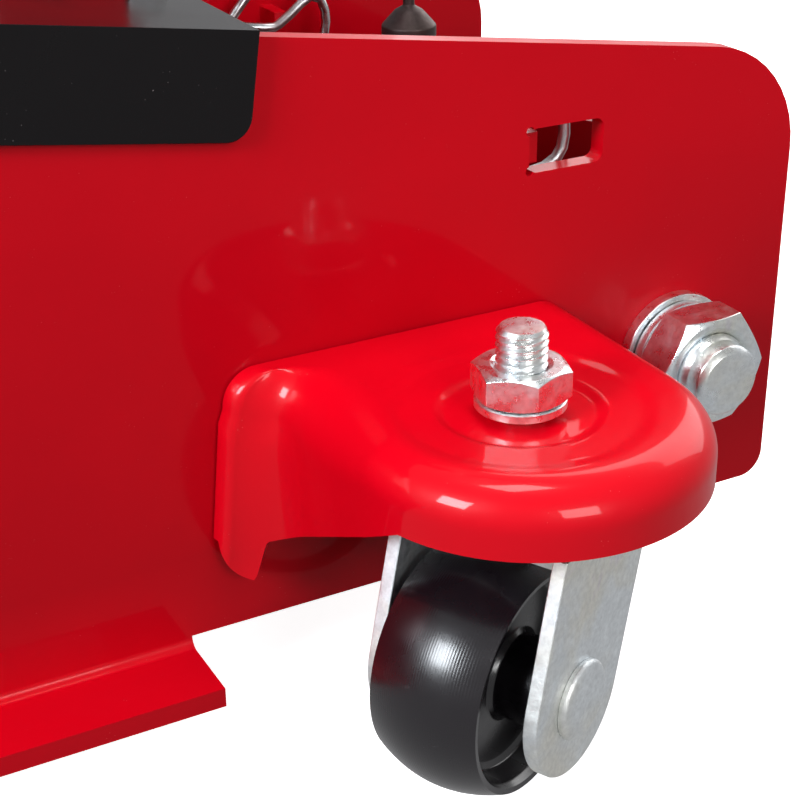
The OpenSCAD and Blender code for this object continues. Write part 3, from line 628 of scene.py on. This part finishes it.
def bracket_column(x, y, inward, reach, edge, low, slant):
    """One strip of the sheet from its lower edge, over the rounded edge, to the middle."""
    rows = []
    for i in range(10):
        z = low + (TOP - edge - low) * i / 10
        rows.append((x + slant * (60 - z) * 0.1, y, z))
    lean = slant * (60 - TOP) * 0.1
    for i in range(13):
        a = math.pi / 2 * i / 12
        d = edge * (1 - math.cos(a))
        keep = 1 - d / reach
        height = TOP - edge + edge * math.sin(a)
        rows.append((x + lean * keep + inward[0] * d, y + inward[1] * d, height))
    for i in range(1, 41):
        d = edge + (reach - edge) * i / 40
        rows.append((x + lean * (1 - d / reach) + inward[0] * d, y + inward[1] * d, TOP))
    return [
        (px, py, pz + pressed_rings(px, py) * smoothstep(TOP - 3, TOP, pz)) for px, py, pz in rows
    ]


def bracket_columns():
    """Strips along the front wall, round the nose and back to the plate behind."""
    front = front_outline()
    columns = []
    for x, y in front:
        share = 1 - smoothstep(5, FLARE_Y, y)
        edge = 8 + 4 * math.sin(math.pi * (y - GAP) / (NOSE_Y - GAP))
        columns.append(bracket_column(x, y, (-1, 0), x - NOSE_X, edge, lower_edge(x, y), share))
    for i in range(1, 120):
        a = math.pi * i / 120
        out = (math.cos(a), math.sin(a))
        x, y = NOSE_X + NOSE_R * out[0], NOSE_Y + NOSE_R * out[1]
        low = lower_edge(x, y) if a < math.pi / 2 else 64.6
        columns.append(bracket_column(x, y, (-out[0], -out[1]), NOSE_R, 8, low, 0))
    for _, y in reversed(front):
        low = lower_edge(60, y) if y > 8 else 41
        columns.append(bracket_column(NOSE_X - NOSE_R, y, (1, 0), NOSE_R, 8, low, 0))
    return columns


def bracket(side, flip):
    columns = bracket_columns()
    count = len(columns[0])
    verts = [Vector(p) for column in columns for p in column]
    faces = []
    for i in range(len(columns) - 1):
        for k in range(count - 1):
            a, b = i * count + k, (i + 1) * count + k
            faces.append([a, a + 1, b + 1, b])
    bm = bmesh.new()
    made = []
    for v in verts:
        y = PLATE_OUT + v.y * MM
        made.append(bm.verts.new((REAR + v.x * MM, -y if flip else y, v.z * MM)))
    for f in faces:
        if len(set(f)) == 4:
            bm.faces.new([made[i] for i in f])
    bmesh.ops.remove_doubles(bm, verts=bm.verts, dist=1e-5)
    bmesh.ops.recalc_face_normals(bm, faces=bm.faces)
    top = max(bm.faces, key=lambda f: f.calc_center_median().z)
    if top.normal.z < 0:
        bmesh.ops.reverse_faces(bm, faces=bm.faces)
    mesh = bpy.data.meshes.new("pressed_bracket_" + side)
    bm.to_mesh(mesh)
    bm.free()
    obj = bpy.data.objects.new(mesh.name, mesh)
    bpy.context.scene.collection.objects.link(obj)
    # the lighter red enamel: painted light on the brackets
    mesh.materials.append(RED_BRACKET_PAINTED_LIGHT)
    shell = obj.modifiers.new("sheet", "SOLIDIFY")
    shell.thickness = 3.6 * MM
    shell.offset = -1
    apply_modifiers(obj)
    smooth_by_angle(obj.data, 50)
    fasten(obj, "caster_bracket_" + side)


for side, flip in SIDES:
    bracket(side, flip)

# ---------------------------------------------------------------- springs


def arc(cx, cz, r, a0, a1, n):
    """Points of an arc from angle a0 to a1, in degrees."""
    turns = [math.radians(a0 + (a1 - a0) * i / n) for i in range(n + 1)]
    return [(cx + r * math.cos(a), cz + r * math.sin(a)) for a in turns]


def return_spring(side, flip):
    """Close-wound coil with a long bent hook behind and an open hook on the arm."""
    rear = [
        (75.5, 121.5), (78.6, 118.2), (81.4, 115.0), (81.9, 113.6), (80.8, 112.5),
        (78, 111.9), (73, 111.2), (70.4, 111.2), (69.2, 111.8), (66, 114.4),
        (63, 117.0), (60, 118.6), (57.2, 117.6), (55.9, 114.4), (55.7, 111.4),
        (56.2, 108.4), (57.6, 106.2), (60.6, 104.6), (66, 103.6), (82, 104.6),
    ]
    y, beside = 58.2, -3.2 if flip else 3.8
    front_x, front_z = FRONT_HOOK
    start = Vector((92, 0, 108.2))
    end = Vector((front_x - 34, 0, front_z + 3.6))
    along = (end - start).normalized()
    up = Vector((0, 1, 0))
    other = along.cross(up)
    turns, steps, coil = 46, 18, 5.2
    points = []
    for x, z in rear:
        aside = y + beside * smoothstep(78, 63, x) if z < 119 else y
        points.append((REAR / MM + x, aside, z))
    for i in range(turns * steps + 1):
        a = TAU * i / steps + math.pi / 2
        p = start + (end - start) * i / (turns * steps)
        p += coil * (math.cos(a) * up + math.sin(a) * other)
        points.append((REAR / MM + p.x, y + p.y, p.z))
    tail = [(front_x - 26, front_z - 6)] + arc(front_x, front_z, 6.2, -95, 110, 12)
    points += [(REAR / MM + x, y, z) for x, z in tail]
    wire = wire_path(points, 1.3, 10)
    obj = build("coil_spring_" + side, [wire], Matrix.Identity(4), WIRE, flip, 60)
    name = "return_spring_" + side
    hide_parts(name)
    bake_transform(obj)


ARM_PIVOT = Vector(JOINTS["arm_lift"]["pos_m"])
LUG_REACH, LUG_ANGLE = 35.0, math.radians(209)
FRONT_HOOK = (
    (ARM_PIVOT.x - REAR) / MM + LUG_REACH * math.cos(LUG_ANGLE),
    ARM_PIVOT.z / MM + LUG_REACH * math.sin(LUG_ANGLE),
)
for side, flip in SIDES:
    return_spring(side, flip)


def plunger_spring():
    """A short spring round the pump plunger, with its end turns wound flat."""
    low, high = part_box("plunger_spring")
    centre = (low + high) / 2
    turns, steps, radius, wire = 5.5, 24, 9.5, 0.9
    bottom, top = low.z / MM + wire, high.z / MM - wire
    points = []
    count = int(turns * steps)
    for i in range(count + 1):
        t = i / count
        eased = min(1, max(0, (t * turns - 0.6) / (turns - 1.2)))
        a = TAU * turns * t
        x = centre.x / MM + radius * math.cos(a)
        y = centre.y / MM + radius * math.sin(a)
        points.append((x, y, bottom + (top - bottom) * eased))
    coil = wire_path(points, wire, 10, (0, 0, 1))
    obj = build("pump_coil", [coil], Matrix.Identity(4), WIRE, False, 60)
    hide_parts("plunger_spring")
    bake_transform(obj)


plunger_spring()

# Nodes that already have a piece of their own
SKIP = {
    "return_spring_left", "return_spring_right", "plunger_spring", "caster_stems",
    "caster_spring_washers", "trunnion_spring_washers", "caster_wheel_left", "caster_wheel_right",
    "caster_axle_left", "caster_axle_right", "caster_bracket_left", "caster_bracket_right",
}
# Width of the broken edges in millimetres, where it isn't 0.3
WIDTH = {
    "side_plate_left": 0.8, "side_plate_right": 0.8, "top_cover": 0.5,
    "caster_nuts": 0.18, "trunnion_nuts": 0.25,
}
# Materials that differ from the node's slot
MATERIAL = {
    "oil_filler_plug": ZINC_DARKENED,
    "trunnion_nuts": ZINC_BIG, "trunnion_studs": ZINC_BIG, "caster_fork_left": ZINC_FORK,
    # the power unit block and reservoir tube take the darker red enamel: painted shade
    "caster_fork_right": ZINC_FORK, "power_unit_block": RED_INNER_PAINTED_SHADE, "reservoir_tube": RED_INNER_PAINTED_SHADE,
}
for node in sorted(frame["nodes"]):
    if node in SKIP:
        continue
    polish(node, WIDTH.get(node, 0.3), MATERIAL.get(node))

# ---------------------------------------------------------------- stage

white = Nodes("floor_paper")
grain = white.ramp(white.noise(30, 3), [(0.3, 0.93), (0.7, 0.96)])
rough = white.ramp(white.noise(12, 2), [(0.3, 0.7), (0.7, 0.9)])
tooth = white.bump(white.noise(300, 2), 0.02, 0.0005)
white.shade(grain, rough, tooth, Emission_Color=(1, 1, 1, 1), Emission_Strength=0.92)


def floor():
    verts = [(-6, -6, 0), (6, -6, 0), (6, 6, 0), (-6, 6, 0)]
    obj = add_mesh("studio_floor", verts, [(0, 1, 2, 3)], white.mat)
    obj.visible_diffuse = False
    obj.visible_glossy = False


floor()


def studio_world(above, below, mirrored):
    """Mirrored at one even level, lighting the rest dimly from below, and white to the camera."""
    world = bpy.data.worlds.new("studio")
    bpy.context.scene.world = world
    world.use_nodes = True
    tree = world.node_tree
    background = tree.nodes["Background"]
    coords = tree.nodes.new("ShaderNodeTexCoord")
    split = tree.nodes.new("ShaderNodeSeparateXYZ")
    ramp = tree.nodes.new("ShaderNodeValToRGB")
    ramp.color_ramp.elements[0].position = 0.35
    ramp.color_ramp.elements[0].color = (below, below, below, 1)
    ramp.color_ramp.elements[1].position = 0.65
    ramp.color_ramp.elements[1].color = (above, above, above, 1)
    half = tree.nodes.new("ShaderNodeMath")
    half.operation = "MULTIPLY_ADD"
    half.inputs[1].default_value = 0.5
    half.inputs[2].default_value = 0.5
    path = tree.nodes.new("ShaderNodeLightPath")
    mix = tree.nodes.new("ShaderNodeMix")
    mix.data_type = "RGBA"
    mix.inputs[7].default_value = (mirrored, mirrored, mirrored * 1.02, 1)
    tree.links.new(coords.outputs["Generated"], split.inputs[0])
    tree.links.new(split.outputs["Z"], half.inputs[0])
    tree.links.new(half.outputs[0], ramp.inputs["Fac"])
    tree.links.new(path.outputs["Is Glossy Ray"], mix.inputs[0])
    tree.links.new(ramp.outputs["Color"], mix.inputs[6])
    seen = tree.nodes.new("ShaderNodeMix")
    seen.data_type = "RGBA"
    seen.inputs[7].default_value = (1, 1, 1, 1)
    tree.links.new(path.outputs["Is Camera Ray"], seen.inputs[0])
    tree.links.new(mix.outputs[2], seen.inputs[6])
    tree.links.new(seen.outputs[2], background.inputs["Color"])
    background.inputs["Strength"].default_value = 1


studio_world(0.15, 0.03, 0.42)


def area_light(name, place, target, size, power, tint=(1, 1, 1)):
    data = bpy.data.lights.new(name, "AREA")
    data.shape = "RECTANGLE"
    data.size, data.size_y = size
    data.energy = power
    data.color = tint
    obj = bpy.data.objects.new(name, data)
    bpy.context.scene.collection.objects.link(obj)
    obj.location = place
    obj.rotation_euler = (Vector(target) - Vector(place)).to_track_quat("-Z", "Y").to_euler()
    return obj


FOCUS = (-0.08, 0.1, 0.06)
area_light("softbox_top", (-0.07, 0.04, 1.05), FOCUS, (0.34, 0.24), 3.2)
area_light("softbox_key", (0.72, 0.30, 0.52), FOCUS, (0.28, 0.3), 8.5, (0.88, 0.94, 1.0))
area_light("softbox_left", (-0.07, 1.0, 0.46), FOCUS, (0.36, 0.34), 3.8)
area_light("softbox_rear", (-0.95, -0.45, 0.62), FOCUS, (1.3, 0.8), 9)
fill = area_light("softbox_fill", (-0.2, 0.42, 0.55), FOCUS, (0.25, 0.25), 0.8)
fill.visible_glossy = False

# ---------------------------------------------------------------- camera

ALPHA, ELEVATION, ROLL = math.radians(27.952), math.radians(26.026), math.radians(-0.534)
CAMERA_AT = Vector((0.078067, 0.355810, 0.219670))
FOCAL = 76.148


def camera():
    right = Vector((-math.cos(ALPHA), math.sin(ALPHA), 0))
    look = Vector((
        -math.sin(ALPHA) * math.cos(ELEVATION), -math.cos(ALPHA) * math.cos(ELEVATION),
        -math.sin(ELEVATION),
    ))
    up = right.cross(look)
    r = math.cos(ROLL) * right + math.sin(ROLL) * up
    u = -math.sin(ROLL) * right + math.cos(ROLL) * up
    data = bpy.data.cameras.new("camera")
    data.lens = FOCAL
    data.sensor_width = 36
    data.clip_start = 0.01
    data.clip_end = 50
    obj = bpy.data.objects.new("camera", data)
    bpy.context.scene.collection.objects.link(obj)
    obj.matrix_world = Matrix.Translation(CAMERA_AT) @ Matrix((r, u, -look)).transposed().to_4x4()
    bpy.context.scene.camera = obj


camera()
bpy.context.scene.view_settings.view_transform = "Standard"
